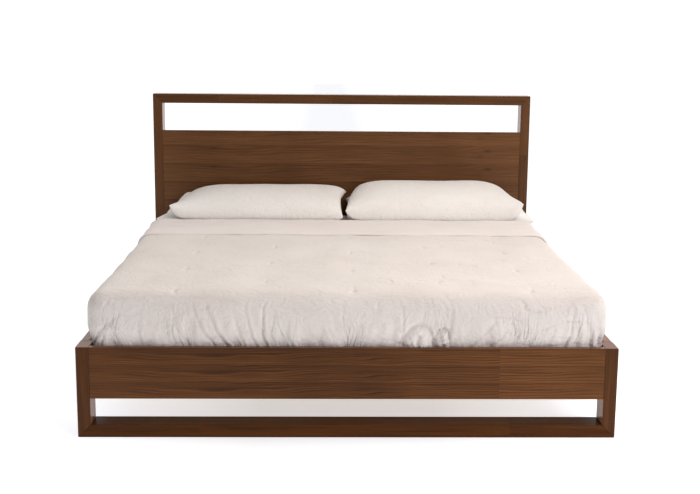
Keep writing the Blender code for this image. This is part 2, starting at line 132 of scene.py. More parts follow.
def mesh_piece(name, points, quads, flat, surface, body, slot, *nodes):
    """Makes a mesh piece from points and quads, with flat cloth coordinates as its UV map (one for each
    point, or one for each quad's corner), and has it ride on a body in place of CAD nodes."""
    mesh = bpy.data.meshes.new(name)
    mesh.from_pydata(points.tolist(), [], quads.tolist())
    layer = mesh.uv_layers.new(name="cloth")
    corner = flat if len(flat) == quads.size else flat[quads.ravel()]
    layer.data.foreach_set("uv", corner.astype(np.float32).ravel())
    mesh.materials.append(surface)
    mesh.shade_smooth()
    obj = bpy.data.objects.new(name, mesh)
    SCENE.collection.objects.link(obj)
    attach(obj, body)
    if nodes:
        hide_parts(*nodes)
    return obj


def shape_of(obj):
    """A mesh's points as an array."""
    co = np.empty(len(obj.data.vertices) * 3, np.float32)
    obj.data.vertices.foreach_get("co", co)
    return co.reshape(-1, 3).astype(float)


def reshape(obj, points):
    """Writes points back into a mesh."""
    obj.data.vertices.foreach_set("co", points.astype(np.float32).ravel())
    obj.data.update()


def thicken(obj, thickness):
    """Gives a piece's cloth its thickness, inwards from its outer face."""
    wall = obj.modifiers.new("thickness", "SOLIDIFY")
    wall.thickness = thickness
    wall.offset = -1


# A box's faces: the axis each one looks along, and whether it lies at its low or high end.
FACES = {"bottom": (2, 0), "top": (2, 1), "foot": (1, 0), "head": (1, 1), "left": (0, 0), "right": (0, 1)}

SAME_PLACE = 1e-6               # points nearer than this are one point


def box_skin(low, high, step, faces):
    """Points, quads and flat coordinates on the named faces of a box: on each face a grid of equal
    steps (one size, or one for each axis), the points that neighbouring faces share merged. Each wall
    is folded flat from the top's edge: its flat coordinate runs on outwards by the distance below the
    top."""
    counts = np.maximum(1, np.round((high - low) / step)).astype(int)
    axes = [np.linspace(a, b, n + 1) for a, b, n in zip(low, high, counts)]
    points, quads, flats, start = [], [], [], 0
    for name in faces:
        axis, end = FACES[name]
        first, second = [(1, 2), (2, 0), (0, 1)][axis]
        a, b = np.meshgrid(axes[first], axes[second], indexing="ij")
        grid = np.empty((*a.shape, 3))
        grid[..., first], grid[..., second], grid[..., axis] = a, b, (low, high)[end][axis]
        flat = grid[..., :2].copy()
        if axis < 2:
            flat[..., axis] += (1 if end else -1) * (high[2] - grid[..., 2])
        cells = grid_quads(*a.shape)[1] + start
        quads.append(cells if end else cells[:, ::-1])
        points.append(grid.reshape(-1, 3))
        flats.append(flat.reshape(-1, 2))
        start += a.size
    points, quads, flats = (np.concatenate(part) for part in (points, quads, flats))
    whole = np.round(points / SAME_PLACE).astype(np.int64)
    _, first, same = np.unique(whole, axis=0, return_index=True, return_inverse=True)
    return points[first], same.reshape(-1)[quads], flats[quads.ravel()]


def rounded(points, low, high, radius):
    """A box's points moved onto the same box with round edges: each point is pulled to `radius`
    from the nearest point of the box shrunk by `radius`."""
    core = np.clip(points, np.asarray(low) + radius, np.asarray(high) - radius)
    out = points - core
    return core + out * (radius / np.maximum(np.linalg.norm(out, axis=1, keepdims=True), 1e-9))


# ---- camera, light and floor ----

CAMERA_PLACE = (-0.0886, -5.297, 1.5185)
CAMERA_YAW, CAMERA_PITCH, CAMERA_ROLL = (math.radians(a) for a in (1.25, 10.5, 0.49))
CAMERA_LENS = 59.27
CAMERA_SENSOR = 36
WORLD_FRONT, WORLD_BACK = 0.30, 1.04            # strength of the surroundings before and behind the bed
WORLD_TURN = (-0.20, 0.50)                      # where, as a sine of the angle, one passes to the other
KEY = {"place": (1.5, -0.9, 3.4), "target": (0.0, 0.0, 0.4), "size": (2.4, 1.8), "watts": 63,
       "colour": "fff5e8"}
FRONT = {"place": (3.6, -4.8, 2.5), "target": (0, -0.8, 0.3), "size": (2.6, 1.8), "watts": 126,
         "colour": "f0eef8"}
FLOOR_SPAN = 30.0                               # half the floor's side
# The floor's glow is painted light: least under the bed's middle, as painted shade, more past its sides, and
# fading out in front of the bed.
FLOOR_GLOW, FLOOR_GLOW_SIDES = 0.46, 0.66       # under the bed's middle, and past its sides
GLOW_MIDDLE, GLOW_SIDES = 0.35, 0.95            # distances from the centre line for those two
SWEEP_EDGE, SWEEP_END = -1.7, -4.2              # between these the glow fades, in front of the bed


def make_camera():
    """A long lens at standing height, a little left of centre, tilted down at the bed."""
    level = Vector((math.sin(CAMERA_YAW), math.cos(CAMERA_YAW), 0))
    side = Vector((math.cos(CAMERA_YAW), -math.sin(CAMERA_YAW), 0))
    ahead = math.cos(CAMERA_PITCH) * level - math.sin(CAMERA_PITCH) * Vector((0, 0, 1))
    above = math.sin(CAMERA_PITCH) * level + math.cos(CAMERA_PITCH) * Vector((0, 0, 1))
    right = math.cos(CAMERA_ROLL) * side + math.sin(CAMERA_ROLL) * above
    up = math.cos(CAMERA_ROLL) * above - math.sin(CAMERA_ROLL) * side
    data = bpy.data.cameras.new("camera")
    data.lens = CAMERA_LENS
    data.sensor_width = CAMERA_SENSOR
    camera = bpy.data.objects.new("camera", data)
    SCENE.collection.objects.link(camera)
    turn = Matrix((right, up, -ahead)).transposed()
    camera.matrix_world = Matrix.Translation(CAMERA_PLACE) @ turn.to_4x4()
    SCENE.camera = camera


def softbox(name, place, target, size, watts, colour):
    """A rectangular studio light aimed at a point."""
    data = bpy.data.lights.new(name, "AREA")
    data.shape = "RECTANGLE"
    data.size, data.size_y = size
    data.energy = watts
    data.color = tone(colour)[:3]
    lamp = bpy.data.objects.new(name, data)
    SCENE.collection.objects.link(lamp)
    lamp.location = place
    lamp.rotation_euler = (Vector(target) - Vector(place)).to_track_quat("-Z", "Y").to_euler()


def floor_painted_glow(tree, shader):
    """Painted light on a matt white floor: its emission makes it glow round the bed and behind it. It glows
    least under the bed's middle, which is painted shade, and it fades out in front, so that it reads as white
    and the bed's soft shadow is partly rendered and partly painted."""
    place = add(tree, "TexCoord", out="Object")
    across = add(tree, "Math", add(tree, "SeparateXYZ", place, out="X"), operation="ABSOLUTE")
    level = add(tree, "MapRange", across, GLOW_MIDDLE, GLOW_SIDES, FLOOR_GLOW, FLOOR_GLOW_SIDES)
    glow = add(tree, "MapRange", add(tree, "SeparateXYZ", place, out="Y"), SWEEP_END, SWEEP_EDGE, 0.0, level)
    tree.links.new(glow, shader.inputs["Emission Strength"])


def make_studio():
    """A white cyclorama: surroundings white behind the bed and grey in front, a large warm light above and to
    the right, a cooler one low in front on the same side, and a floor that glows a little, which is painted
    light."""
    world = bpy.data.worlds.new("studio")
    world.use_nodes = True
    tree = world.node_tree
    ahead = add(tree, "SeparateXYZ", add(tree, "TexCoord", out="Generated"), out="Y")
    glow = add(tree, "MapRange", ahead, *WORLD_TURN, WORLD_FRONT, WORLD_BACK)
    tree.links.new(glow, tree.nodes["Background"].inputs["Strength"])
    tree.nodes["Background"].inputs["Color"].default_value = tone("ffffff")
    SCENE.world = world
    softbox("key", **KEY)
    softbox("front", **FRONT)
    mesh = bpy.data.meshes.new("floor")
    ends = (-FLOOR_SPAN, FLOOR_SPAN)
    mesh.from_pydata([(x, y, 0) for x in ends for y in ends], [], [(0, 2, 3, 1)])
    # The floor's emission colour and strength are painted light, not a lamp.
    mesh.materials.append(material("white_floor_painted_light", floor_painted_glow, base_color=tone("ececec"), roughness=0.9,
                                   specular_ior_level=0.1, emission_color=tone("f4f8ff")))
    floor = bpy.data.objects.new("floor", mesh)
    SCENE.collection.objects.link(floor)


# ---- woods ----

LACQUER_ROUGH = (0.48, 0.36)    # on dark and on pale figure
PORE_SHADE = 0.78               # how much of its colour an open pore keeps
WOOD_RELIEF = 0.0006


def streaks(tree, place, grain, long, fine, detail=3.0):
    """Noise drawn out along the grain: `long` metres one way, `fine` metres the other two."""
    scale = [1 / (long if axis == grain else fine) for axis in "XYZ"]
    drawn = add(tree, "VectorMath", place, scale, operation="MULTIPLY")
    return add(tree, "TexNoise", {"Vector": drawn, "Scale": 1.0, "Detail": detail, "Roughness": 0.6})


def wood_finish(tree, shader, colour, figure, pores):
    """Closes a wood: open pores darken the colour a little, and pores and figure dull and dent the
    lacquer."""
    specks = add(tree, "MapRange", pores, 0.56, 0.72, 1.0, PORE_SHADE)
    stained = add(tree, "VectorMath", {0: colour, 3: specks}, operation="SCALE")
    tree.links.new(stained, shader.inputs["Base Color"])
    tree.links.new(add(tree, "MapRange", figure, 0.0, 1.0, *LACQUER_ROUGH), shader.inputs["Roughness"])
    height = add(tree, "Math", figure, 0.4, pores, operation="MULTIPLY_ADD")
    bump = add(tree, "Bump", {"Height": height, "Strength": 0.12, "Distance": WOOD_RELIEF})
    tree.links.new(bump, shader.inputs["Normal"])


def lacquered(name, build, gloss=1.0, bloom=0.3):
    """A wood under satin lacquer, which shines at a low angle and hardly at all face on. `bloom` is the
    warm haze that rubbed lacquer shows at a low angle."""
    return material(name, build, ior=1.5, specular_ior_level=0.06, coat_weight=gloss, coat_ior=1.16,
                    coat_roughness=0.16, sheen_weight=bloom, sheen_roughness=0.45, sheen_tint=tone("f2b592"))


def solid_walnut(name, grain, stave, seed, tones, gloss=1.0, bloom=0.3):
    """Walnut-stained hardwood: straight fine streaks, and lengths of stave that meet end to end, each a
    little lighter or darker than the next."""
    def build(tree, shader):
        place = add(tree, "TexCoord", out="Object")
        size = [1 / (stave if axis == grain else 1.1) for axis in "XYZ"]
        start = [seed if axis == grain else 0.5 for axis in "XYZ"]
        cell = add(tree, "VectorMath", place, size, start, operation="MULTIPLY_ADD")
        own = add(tree, "TexWhiteNoise", add(tree, "VectorMath", cell, operation="FLOOR"))
        moved = add(tree, "VectorMath", place, add(tree, "CombineXYZ", own, own, own), operation="ADD")
        figure = 0.0
        for part, amount in ((streaks(tree, moved, grain, 0.50, 0.016), 0.62),
                             (streaks(tree, moved, grain, 0.16, 0.0030), 0.38), (own, 0.14)):
            figure = add(tree, "Math", part, amount, figure, operation="MULTIPLY_ADD")
        colour = add(tree, "ValToRGB", figure, stops=zip((0.35, 0.57, 0.81), tones))
        wood_finish(tree, shader, colour, figure, streaks(tree, moved, grain, 0.02, 0.0012, 2.0))
    return lacquered(name, build, gloss, bloom)


def walnut_veneer(name, bottom, pitch, ring, line, seam, tones, knots):
    """Slip-matched walnut veneer. The leaves are cut from one flitch, so each strip of height `pitch`
    repeats the last one's figure: long wandering streaks and dark ring lines `ring` apart and of strength
    `line`, darkest at the strip's top. Past `seam` a second, lighter set of leaves begins. Each knot, at
    (x, height in the strip, half length, half height), bends the grain round it."""
    def build(tree, shader):
        place = add(tree, "TexCoord", out="Object")
        x = add(tree, "SeparateXYZ", place, out="X")
        z = add(tree, "SeparateXYZ", place, out="Z")
        level = add(tree, "Math", z, 1 / pitch, -bottom / pitch, operation="MULTIPLY_ADD")
        share = add(tree, "Math", level, operation="FRACT")
        strip = add(tree, "Math", level, operation="FLOOR")
        other = add(tree, "Math", x, seam, operation="GREATER_THAN")
        along = add(tree, "Math", strip, 0.006, x, operation="MULTIPLY_ADD")
        along = add(tree, "Math", other, 5.0, along, operation="MULTIPLY_ADD")
        height = add(tree, "Math", share, pitch, operation="MULTIPLY")
        leaf = add(tree, "CombineXYZ", along, height, 0.0)
        bent = add(tree, "Math", streaks(tree, leaf, "X", 0.60, 0.11, 2.0), 0.060, height,
                   operation="MULTIPLY_ADD")
        burl = 0.0
        for knot_x, knot_z, half_long, half_high in knots:
            side = add(tree, "Math", x, 1 / half_long, -knot_x / half_long, operation="MULTIPLY_ADD")
            over = add(tree, "Math", height, 1 / half_high, -knot_z / half_high, operation="MULTIPLY_ADD")
            far = add(tree, "Math", over, over, add(tree, "Math", side, side, operation="MULTIPLY"),
                      operation="MULTIPLY_ADD")
            near = add(tree, "Math", 0.37, far, operation="POWER")
            bend = add(tree, "Math", near, over, operation="MULTIPLY")
            bent = add(tree, "Math", bend, -half_high, bent, operation="MULTIPLY_ADD")
            burl = add(tree, "Math", burl, near, operation="MAXIMUM")
        grown = add(tree, "CombineXYZ", along, bent, 0.0)
        broad = streaks(tree, grown, "X", 0.85, 0.0100, 4.0)
        fine = streaks(tree, grown, "X", 0.22, 0.0022, 3.0)
        wave = add(tree, "Math", broad, 1.8, add(tree, "Math", bent, 1 / ring, operation="MULTIPLY"),
                   operation="MULTIPLY_ADD")
        saw = add(tree, "Math", wave, operation="FRACT")
        late = add(tree, "MapRange", saw, 0.55, 0.97, 0.0, 1.0)
        figure = 0.0
        for part, amount in ((broad, 0.24), (fine, 0.56), (late, -line), (share, -0.09), (other, 0.06),
                             (burl, -0.07), (streaks(tree, place, "X", 0.40, 0.20, 1.0), 0.20)):
            figure = add(tree, "Math", part, amount, figure, operation="MULTIPLY_ADD")
        colour = add(tree, "ValToRGB", figure, stops=zip((0.24, 0.36, 0.46, 0.62), tones))
        wood_finish(tree, shader, colour, figure, streaks(tree, leaf, "X", 0.018, 0.0011, 2.0))
    return lacquered(name, build)


def planed_pine(name, grain, seed):
    """Unfinished softwood, planed: dry and pale yellow with darker growth-ring streaks, and no shine."""
    def build(tree, shader):
        place = add(tree, "TexCoord", out="Object")
        place = add(tree, "VectorMath", place, (0.37 * seed,) * 3, operation="ADD")
        figure = streaks(tree, place, grain, 0.9, 0.012)
        stops = [(0.35, tone("d9b98a")), (0.55, tone("cfa873")), (0.68, tone("b98a54"))]
        wood_finish(tree, shader, add(tree, "ValToRGB", figure, stops=stops), figure,
                    streaks(tree, place, grain, 0.12, 0.002, 2.0))
    return material(name, build, ior=1.5)


def clouded(name, dark, light, metallic, rough, grit):
    """Painted, plated or moulded: faint clouds of `grit` metres in its colour, gloss and surface."""
    def build(tree, shader):
        cloud = add(tree, "TexNoise", {"Vector": add(tree, "TexCoord", out="Object"), "Scale": 1 / grit,
                                       "Detail": 4.0, "Roughness": 0.6})
        tree.links.new(add(tree, "ValToRGB", cloud, stops=[(0.3, tone(dark)), (0.7, tone(light))]),
                       shader.inputs["Base Color"])
        tree.links.new(add(tree, "MapRange", cloud, 0.0, 1.0, *rough), shader.inputs["Roughness"])
        bump = add(tree, "Bump", {"Height": cloud, "Strength": 0.08, "Distance": 0.0004})
        tree.links.new(bump, shader.inputs["Normal"])
    return material(name, build, metallic=metallic)


# ---- cloths ----

WEAVE_DEPTH = 0.00006
SLUB_DEPTH = 0.00012
CLOTH_STIFF = 8.0
TUCK_CREASES = (36.0, 7.0, 0.0)   # creases per metre along the tucked edge and up from it


def cotton(name, light, shade, thread, crinkle, crinkle_size, tucked=0.0):
    """Washed plain-weave cotton: matt with a little sheen, a weave of `thread` metres (drawn coarser than
    the real 0.3 mm so that it shows), slubs along both threads, and fine creases of `crinkle_size` metres.
    Where the piece's "tuck" attribute holds (place along the edge, height above it, strength), creases
    of depth `tucked` climb from that edge."""
    def build(tree, shader):
        flat = add(tree, "UVMap", uv_map="cloth")
        turns = add(tree, "VectorMath", flat, (2 * math.pi / thread,) * 3, operation="MULTIPLY")
        waves = add(tree, "VectorMath", turns, operation="SINE")
        warp = add(tree, "SeparateXYZ", waves, out="X")
        weft = add(tree, "SeparateXYZ", waves, out="Y")
        weave = add(tree, "Math", warp, weft, operation="MULTIPLY")
        along, across = (streaks(tree, flat, way, 0.03, 0.002, 1.0) for way in "XY")
        slub = add(tree, "Math", along, across, operation="ADD")
        fold = add(tree, "TexNoise", {"Vector": flat, "Scale": 1 / crinkle_size, "Detail": 4.0,
                                      "Roughness": 0.6, "Distortion": 1.6})
        away = add(tree, "Math", add(tree, "Math", fold, 0.5, operation="SUBTRACT"), operation="ABSOLUTE")
        ridge = add(tree, "MapRange", away, 0.0, 0.11, 1.0, 0.0)
        cloud = add(tree, "TexNoise", {"Vector": flat, "Scale": 3.0, "Detail": 2.0})
        figure = add(tree, "Math", slub, 0.15, add(tree, "Math", cloud, 0.8, operation="MULTIPLY"),
                     operation="MULTIPLY_ADD")
        tree.links.new(add(tree, "ValToRGB", figure, stops=[(0.33, tone(shade)), (0.65, tone(light))]),
                       shader.inputs["Base Color"])
        tree.links.new(add(tree, "MapRange", slub, 0.0, 2.0, 0.84, 0.98), shader.inputs["Roughness"])
        height = add(tree, "Math", slub, SLUB_DEPTH, operation="MULTIPLY")
        height = add(tree, "Math", weave, WEAVE_DEPTH, height, operation="MULTIPLY_ADD")
        ridge = add(tree, "Math", ridge, fold, operation="MULTIPLY")
        height = add(tree, "Math", ridge, crinkle, height, operation="MULTIPLY_ADD")
        if tucked:
            tuck = add(tree, "Attribute", attribute_name="tuck", out="Vector")
            drawn = add(tree, "VectorMath", tuck, TUCK_CREASES, operation="MULTIPLY")
            fold = add(tree, "TexNoise", {"Vector": drawn, "Scale": 1.0, "Detail": 2.0, "Distortion": 0.7})
            away = add(tree, "Math", add(tree, "Math", fold, 0.5, operation="SUBTRACT"), operation="ABSOLUTE")
            ridge = add(tree, "MapRange", away, 0.0, 0.10, 1.0, 0.0)
            strength = add(tree, "SeparateXYZ", tuck, out="Z")
            strength = add(tree, "Math", strength, -tucked, operation="MULTIPLY")
            height = add(tree, "Math", ridge, strength, height, operation="MULTIPLY_ADD")
        bump = add(tree, "Bump", {"Height": height, "Strength": 1.0, "Distance": 1.0})
        tree.links.new(bump, shader.inputs["Normal"])
    return material(name, build, ior=1.45, sheen_weight=0.15, sheen_roughness=0.5, specular_ior_level=0.25)


def settle(obj, held, rest, pressure, steps, cap):
    """Runs cloth on a piece whose unstrained shape is `rest`, with the points weighted in `held` kept in
    place, air pressure from inside and no gravity, then keeps the result, no point moved past `cap`."""
    before = shape_of(obj)
    group = obj.vertex_groups.new(name="held")
    for weight in np.unique(held[held > 0]):
        group.add(np.flatnonzero(held == weight).tolist(), float(weight), "REPLACE")
    obj.shape_key_add(name="Basis")
    key = obj.shape_key_add(name="unstrained")
    key.data.foreach_set("co", rest.astype(np.float32).ravel())
    cloth = obj.modifiers.new("cloth", "CLOTH")
    own = cloth.settings
    own.quality = 5
    own.mass = 0.3
    own.tension_stiffness = own.compression_stiffness = CLOTH_STIFF
    own.shear_stiffness = CLOTH_STIFF / 2
    own.bending_stiffness = 0.05
    own.tension_damping = own.compression_damping = 8
    own.air_damping = 2
    own.rest_shape_key = key
    own.vertex_group_mass = "held"
    own.use_pressure = True
    own.uniform_pressure_force = pressure
    own.effector_weights.gravity = 0
    cloth.point_cache.frame_start = 1
    cloth.point_cache.frame_end = steps
    for step in range(steps):
        SCENE.frame_set(step + 1)
    seen = obj.evaluated_get(bpy.context.evaluated_depsgraph_get())
    after = np.empty(len(before) * 3, np.float32)
    seen.data.vertices.foreach_get("co", after)
    moved = after.reshape(-1, 3).astype(float) - before
    size = np.linalg.norm(moved, axis=1, keepdims=True)
    moved *= np.minimum(1, cap / np.maximum(size, 1e-9))
    obj.modifiers.remove(cloth)
    obj.shape_key_clear()
    obj.vertex_groups.clear()
    SCENE.frame_set(1)
    reshape(obj, before + moved)


# ---- comforter ----

COVER_RADIUS = 0.068
COVER_STEP = (0.0092, 0.0125, 0.0095)    # of the simulated cloth along X, Y and Z, halved afterwards
COVER_WALL = 0.010
CLOTH_PRESSURE, CLOTH_STEPS, CLOTH_MOVES = 0.12, 20, 0.010   # of its simulation, and the most it moves
CLOTH_SLACK = 0.030             # extra cloth in the drops, as a share of their width
END_LENGTH = 0.030              # over which the end at the pillows closes down
SWELL_HEIGHT = 0.075            # height above the side rails where the drops swell most
TUFT_COLUMNS = 5
TUFT_SPREAD = 0.340
TUFT_OFF_CENTRE = 0.020
TUFT_PITCH = 0.368
TUFT_STAGGER = 0.150            # every second column is set this much nearer the head
TUFT_FIRST = 0.070              # first row, from the comforter's face at the foot
TUFT_ROWS = range(-1, 6)
TUFT_DEPTH = 0.0055
TACK_HALF, TACK_RADIUS, TACK_RISE = 0.0045, 0.0011, 0.0012   # half length, radius, height of its arch

# Gathers where the comforter was pushed down behind the rails: place along the edge from the middle
# of the foot, lean to the right per metre of height, half width, depth, and the height each reaches.
GATHERS = [(-1.005, 1.15, 0.013, 0.013, 0.10), (-0.955, 0.70, 0.009, 0.007, 0.08),
           (-0.80, 0.15, 0.008, 0.004, 0.14), (-0.62, -0.30, 0.008, 0.005, 0.12),
           (-0.52, -0.45, 0.008, 0.007, 0.16), (-0.472, -0.42, 0.009, 0.010, 0.15),
           (-0.40, -0.25, 0.008, 0.006, 0.12), (-0.358, -0.22, 0.007, 0.007, 0.16),
           (-0.325, 0.02, 0.006, 0.010, 0.18), (-0.27, 0.25, 0.008, 0.004, 0.10),
           (0.205, 0.0, 0.007, 0.010, 0.13), (0.335, -0.10, 0.007, 0.009, 0.12),
           (0.378, 0.08, 0.008, 0.008, 0.15), (0.485, 0.66, 0.007, 0.009, 0.09),
           (0.560, 0.57, 0.007, 0.007, 0.09), (0.70, 0.10, 0.008, 0.004, 0.13),
           (0.835, 0.10, 0.008, 0.011, 0.14), (0.885, -0.20, 0.010, 0.010, 0.12),
           (0.935, -0.30, 0.011, 0.012, 0.12), (0.995, -0.45, 0.012, 0.011, 0.10)]
BUNCHES = [(0.265, 0.055, 0.080), (0.358, 0.027, 0.066)]   # middle, half width and height of each


def tuft_places():
    """Where the tufts are stitched, in flat coordinates: straight columns with staggered rows."""
    column, row = np.meshgrid(np.arange(TUFT_COLUMNS), np.array(TUFT_ROWS), indexing="ij")
    u = (column - (TUFT_COLUMNS - 1) / 2) * TUFT_SPREAD + TUFT_OFF_CENTRE
    v = COVER_LOW[1] + TUFT_FIRST + TUFT_PITCH * row + TUFT_STAGGER * (column % 2)
    places = np.stack([u, v], -1).reshape(-1, 2)
    drop = COVER_HIGH[2] - RAIL_TOP - 0.03
    return places[(places[:, 1] > COVER_LOW[1] - drop) & (places[:, 1] < FOLD_LOW[1] - 0.02)]


def cover_shape(points, low, high):
    """The comforter's resting shape: a box with rounded edges whose drops are narrow where they are
    tucked in below the rail tops, swell out above them and lie a little lower under the turned-down
    sheet, where their end closes down onto the mattress."""
    shaped = rounded(points, low - np.array([0, 0, 0.2]), high + np.array([0, 0.2, 0]), COVER_RADIUS)
    shaped[:, 2] = np.maximum(shaped[:, 2], low[2])
    z = shaped[:, 2]
    swell = rise(z, RAIL_TOP - 0.012, RAIL_TOP + SWELL_HEIGHT)
    tuck = (high[0] - (POST_INNER - 0.003)) * (1 - swell)
    side = rise(np.abs(shaped[:, 0]), high[0] - 0.06, high[0] - 0.01)
    shaped[:, 0] -= np.sign(shaped[:, 0]) * tuck * side
    front = 1 - rise(shaped[:, 1], low[1] + 0.01, low[1] + 0.06)
    shaped[:, 1] += (PANEL_BACK + 0.003 - low[1]) * (1 - swell) * front
    under = rise(shaped[:, 1], FOLD_LOW[1] - 0.002, FOLD_LOW[1] + 0.020)
    shaped[:, 2] += (0.006 * rise(shaped[:, 1], FOLD_LOW[1] - 0.30, FOLD_LOW[1]) - 0.003 * under) * rise(
        z, high[2] - 0.03, high[2])
    shaped[:, 0] -= np.sign(shaped[:, 0]) * 0.006 * under * side
    shut = rise(shaped[:, 1], high[1] - END_LENGTH, high[1] - 0.002)
    shaped[:, 0] -= np.sign(shaped[:, 0]) * shut * side * (high[0] - 0.006 - SHEET_HIGH[0] - COVER_WALL)
    shaped[:, 2] -= shut * rise(z, high[2] - 0.03, high[2]) * (high[2] - SHEET_HIGH[2] - COVER_WALL - 0.002)
    return shaped


def lobes(place, wave, sharp=0.6):
    """Round lobes of width `wave` between sharp valleys: |sin|^sharp, less its mean."""
    return np.abs(np.sin(math.pi * place / wave)) ** sharp - 0.72


def puckers(along, height):
    """Creases that climb from the tucked edge: three sizes of lobes, wandering and leaning, each dying
    out at its own height, then the single gathers as valleys between two ridges."""
    up = np.maximum(height, 0)
    total = np.zeros(along.shape)
    for wave, size, reach, seed in ((0.085, 0.0028, 0.120, 41), (0.046, 0.0026, 0.080, 42),
                                    (0.026, 0.0018, 0.050, 43)):
        lean = 0.45 * ripple(along, 0 * along, 0.35, seed)
        place = along + lean * up + 0.40 * wave * ripple(along, 0 * along, wave * 2.6, seed + 10)
        tall = reach * (1 + 0.55 * ripple(along, 0 * along, wave * 2.2, seed + 20)).clip(0.25)
        total += size * lobes(place, wave) * np.exp(-(up / tall) ** 2)
    for centre, lean, width, depth, reach in GATHERS:
        away = (along - centre - lean * up) / width
        fade = np.exp(-(up / (0.85 * reach)) ** 2)
        total += depth * fade * (0.45 * np.exp(-(away - 1.7) ** 2) - np.exp(-1.6 * np.abs(away)))
    return total


def bunched(x, height):
    """The bunched folds at the foot: puffed domes, each ringed by a groove and pleated lower down."""
    total = np.zeros(x.shape)
    for centre, half, tall in BUNCHES:
        far = np.hypot((x - centre) / half, np.maximum(height, 0) / tall)
        dome = np.maximum(1 - far ** 4, 0)
        pleats = 0.0065 * lobes(x - centre + 0.2 * height, 0.021) * (1 - rise(height, 0.01, 0.045))
        total += dome * (0.009 + pleats + 0.0030 * ripple(x, height, 0.040, 51))
        total -= 0.010 * np.exp(-((far - 1.08) / 0.10) ** 2)
    return total


def creases(a, b, wave, width, seed):
    """Hairline folds: narrow valleys along the lines where a smooth noise crosses zero, where a second
    noise lets them show."""
    line = np.exp(-(ripple(a, b, wave, seed) / width) ** 2)
    return -line * np.clip(0.3 + 0.7 * ripple(a, b, wave * 2.5, seed + 1), 0, 1)


def tufting(flat):
    """Dimples at the tufts, each with a small pit, a broad hollow, five to seven creases that run out
    from it, and one longer fold each way."""
    total = np.zeros(len(flat))
    for number, (u, v) in enumerate(tuft_places()):
        du, dv = flat[:, 0] - u, flat[:, 1] - v
        near = np.hypot(du, dv)
        turn = np.arctan2(dv, du)
        rays = lobes(turn + 0.7 * number, 2 * math.pi / (5 + number % 3), 0.5)
        total -= TUFT_DEPTH * np.exp(-(near / 0.011) ** 2) + 0.0035 * np.exp(-(near / 0.060) ** 2)
        total += 0.0026 * rays * np.exp(-((near - 0.018) / 0.026) ** 2)
        total -= 0.0022 * np.exp(-(du / 0.006) ** 2 - (dv / 0.050) ** 2)
        total -= 0.0012 * np.exp(-(dv / 0.007) ** 2 - (du / 0.110) ** 2)
    return total


def refined(obj):
    """Halves a piece's quads with smooth subdivision and gives its points' flat coordinates, normals
    and places."""
    finer = obj.modifiers.new("finer", "SUBSURF")
    finer.levels = 1
    finer.render_levels = 1
    mesh = bpy.data.meshes.new_from_object(obj.evaluated_get(bpy.context.evaluated_depsgraph_get()))
    obj.modifiers.remove(finer)
    obj.data = mesh
    flat = np.empty(len(mesh.loops) * 2, np.float32)
    mesh.uv_layers[0].data.foreach_get("uv", flat)
    corner = np.empty(len(mesh.loops), np.int32)
    mesh.loops.foreach_get("vertex_index", corner)
    own = np.zeros((len(mesh.vertices), 2))
    own[corner] = flat.reshape(-1, 2)
    normals = np.empty(len(mesh.vertices) * 3, np.float32)
    mesh.vertex_normals.foreach_get("vector", normals)
    return own, normals.reshape(-1, 3).astype(float), shape_of(obj)


def make_comforter(surface):
    """A tufted comforter pulled over the mattress and tucked in at the foot and sides. Its cloth is cut a
    little larger than the shape it covers, most of all in the drops, so it puckers where it is tucked;
    the creases and tufts are then pressed in."""
    low, high = COVER_LOW, COVER_HIGH - np.array([0, 0, 0.003])
    points, quads, flat = box_skin(low, high, COVER_STEP, ["top", "foot", "left", "right"])
    shaped = cover_shape(points, low, high)
    x, y, z = shaped.T
    drop = 1 - rise(z, RAIL_TOP + 0.02, high[2] - 0.04)
    at_foot = 1 - rise(y, low[1] + 0.02, low[1] + 0.10)
    free = 1.0 * ((z > low[2] + 0.004) & (y < FOLD_LOW[1] + 0.020))
    rest = shaped.copy()
    rest[:, 0] += 0.007 * x + at_foot * drop * CLOTH_SLACK * x
    rest[:, 1] += 0.006 * y + (1 - at_foot) * drop * CLOTH_SLACK * y
    for centre, _, width, depth, _ in GATHERS:
        rest[:, 0] += at_foot * drop * 1.2 * depth * np.tanh((x - centre) / (3 * width))
    shaped[:, 2] += 0.0015 * ripple(x, y, 0.22, 3) * free
    shaped[:, 1] -= at_foot * drop * 0.0025 * ripple(x, z * 0.2, 0.07, 5) * free
    shaped[:, 0] += np.sign(x) * (1 - at_foot) * drop * 0.0025 * ripple(y, z * 0.2, 0.08, 6) * free
    obj = mesh_piece("comforter_cover", shaped, quads, flat, surface, "mattress", "comforter_cotton",
                     "comforter")
    settle(obj, 1.0 - free, rest, CLOTH_PRESSURE, CLOTH_STEPS, CLOTH_MOVES)
    flat, normals, points = refined(obj)
    x, y, z = points.T
    height = z - RAIL_TOP
    along = np.sign(x) * (np.abs(x) + np.maximum(y - low[1], 0))
    foot_face = 1 - rise(y, low[1] + 0.03, low[1] + 0.09)
    wall = 1 - rise(np.abs(normals[:, 2]), 0.35, 0.80)
    shown = rise(height, -0.03, 0.0)
    band = 1 - rise(y, FOLD_LOW[1] - 0.03, FOLD_LOW[1])
    relief = wall * (0.25 + 0.75 * shown) * puckers(along, height)
    relief += wall * foot_face * shown * bunched(x, height)
    worn = 0.5 + 0.8 * rise(x, -0.1, 0.6)
    relief += band * (tufting(flat) + worn * 0.0032 * creases(0.40 * flat[:, 0], flat[:, 1], 0.10, 0.13, 61)
                      + worn * 0.0020 * creases(flat[:, 0], flat[:, 1], 0.09, 0.13, 63))
    reshape(obj, points + normals * relief[:, None])
    tuck = obj.data.attributes.new("tuck", "FLOAT_VECTOR", "POINT")
    strength = wall * shown * (np.exp(-(height / 0.10) ** 2) + 0.15)
    strength = strength * (0.3 + 0.7 * ripple(along, height, 0.20, 65)).clip(0)
    tuck.data.foreach_set("vector", np.stack([along, height, strength], -1).astype(np.float32).ravel())
    thicken(obj, COVER_WALL)
    return obj


